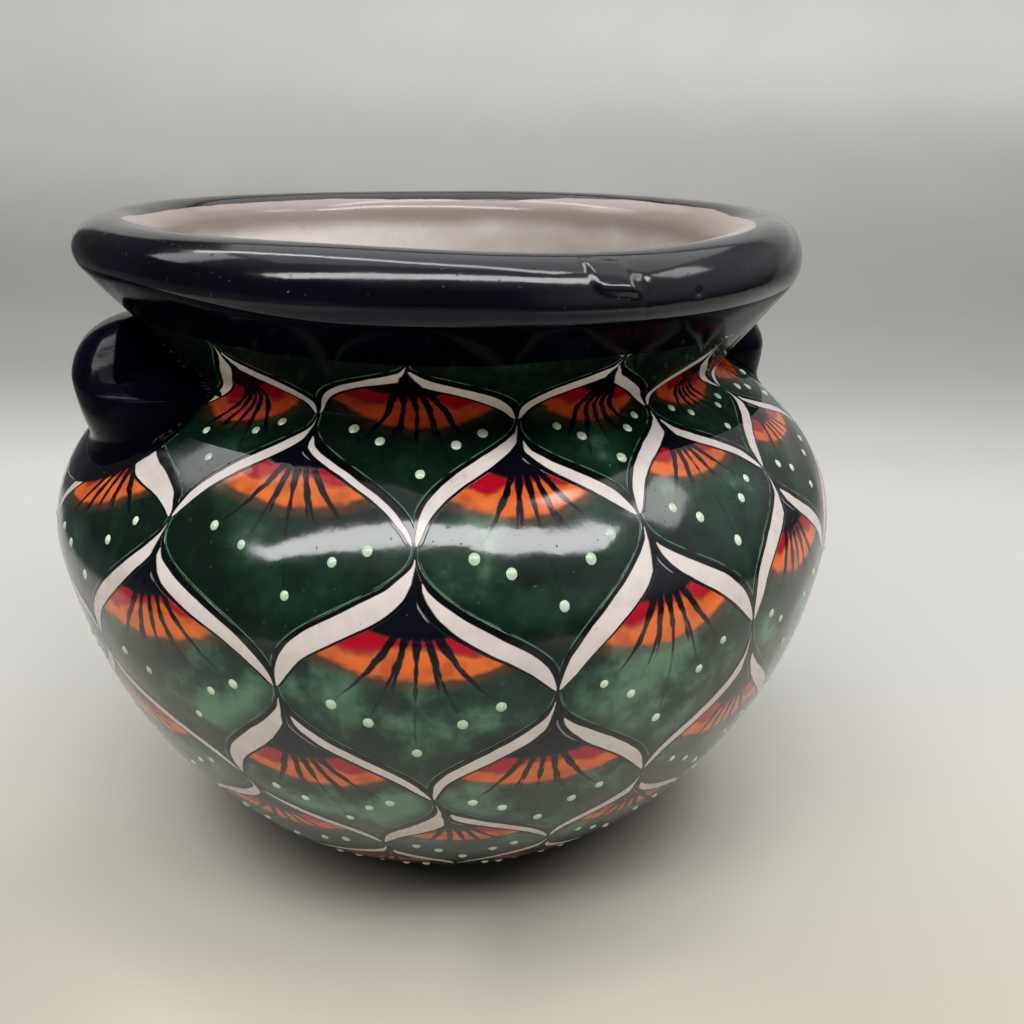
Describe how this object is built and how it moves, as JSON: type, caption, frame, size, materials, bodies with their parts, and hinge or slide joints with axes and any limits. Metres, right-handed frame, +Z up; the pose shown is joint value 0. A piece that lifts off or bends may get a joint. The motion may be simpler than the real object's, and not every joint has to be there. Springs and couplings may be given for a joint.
{
  "type": "flower pot",
  "caption": "Round-bellied glazed earthenware flower pot with a flared collar, a thick rolled rim, two solid ear handles and a drained flat foot.",
  "frame": {"origin": "centre of the flat foot, on the surface that the pot stands on", "axes": "+Z up through the mouth; the two ear handles lie on the X axis"},
  "size_m": [0.28, 0.28, 0.2274],
  "materials": {
    "painted_glaze": "hand-painted scale pattern in green, white, orange, red and navy under a clear gloss glaze",
    "navy_glaze": "thick gloss glaze, near-black navy",
    "white_glaze": "thin milky gloss glaze over buff clay",
    "bare_clay": "unglazed fired earthenware, matte"
  },
  "bodies": {
    "root": {"floor_slab": "bare_clay", "belly_wall": "painted_glaze", "neck_collar": "painted_glaze", "rim_coil": "navy_glaze", "handle_right": "navy_glaze", "handle_left": "navy_glaze"}
  },
  "joints": []
}
